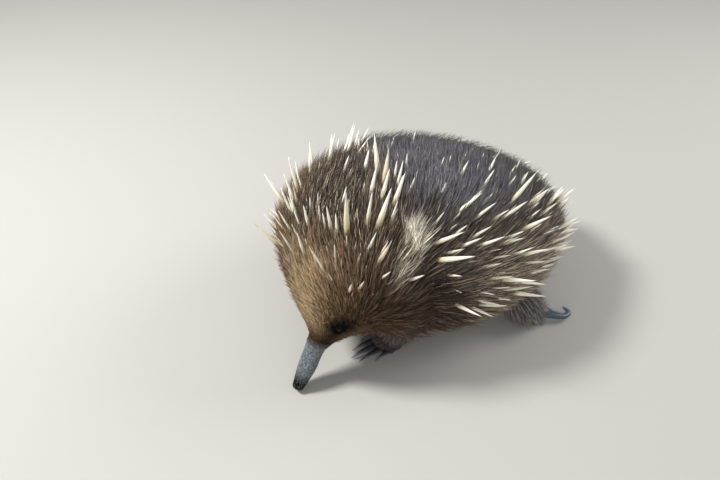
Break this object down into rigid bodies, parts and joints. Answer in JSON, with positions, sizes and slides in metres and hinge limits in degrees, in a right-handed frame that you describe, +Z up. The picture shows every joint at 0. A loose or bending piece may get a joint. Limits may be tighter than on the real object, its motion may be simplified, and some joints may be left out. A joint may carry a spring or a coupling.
{
  "type": "echidna",
  "caption": "Life-size still model of a short-beaked echidna probing the ground, head turned to its left, with cream spines standing in a long dark coat",
  "frame": {"origin": "centre of the model's box on the floor it stands on", "axes": "+Z up, -Y the way the body faces, +X the animal's left side"},
  "size_m": [0.2448, 0.3498, 0.1951],
  "materials": {
    "coat": "matte",
    "face_fur": "matte",
    "beak_skin": "satin",
    "ear_skin": "matte",
    "paw_skin": "matte",
    "eye": "gloss",
    "claw": "satin"
  },
  "bodies": {
    "root": {"beak": "beak_skin", "head": "face_fur", "neck": "coat", "torso": "coat", "tail": "coat", "eye_left": "eye", "ear_left": "ear_skin", "foreleg_left": "coat", "forefoot_left": "paw_skin", "claw_fore_left_1": "claw", "claw_fore_left_2": "claw", "claw_fore_left_3": "claw", "claw_fore_left_4": "claw", "claw_fore_left_5": "claw", "hindleg_left": "coat", "hindfoot_left": "paw_skin", "claw_hind_left_1": "claw", "claw_hind_left_2": "claw", "claw_hind_left_3": "claw", "claw_hind_left_4": "claw", "claw_hind_left_5": "claw", "eye_right": "eye", "ear_right": "ear_skin", "foreleg_right": "coat", "forefoot_right": "paw_skin", "claw_fore_right_1": "claw", "claw_fore_right_2": "claw", "claw_fore_right_3": "claw", "claw_fore_right_4": "claw", "claw_fore_right_5": "claw", "hindleg_right": "coat", "hindfoot_right": "paw_skin", "claw_hind_right_1": "claw", "claw_hind_right_2": "claw", "claw_hind_right_3": "claw", "claw_hind_right_4": "claw", "claw_hind_right_5": "claw"}
  },
  "joints": []
}
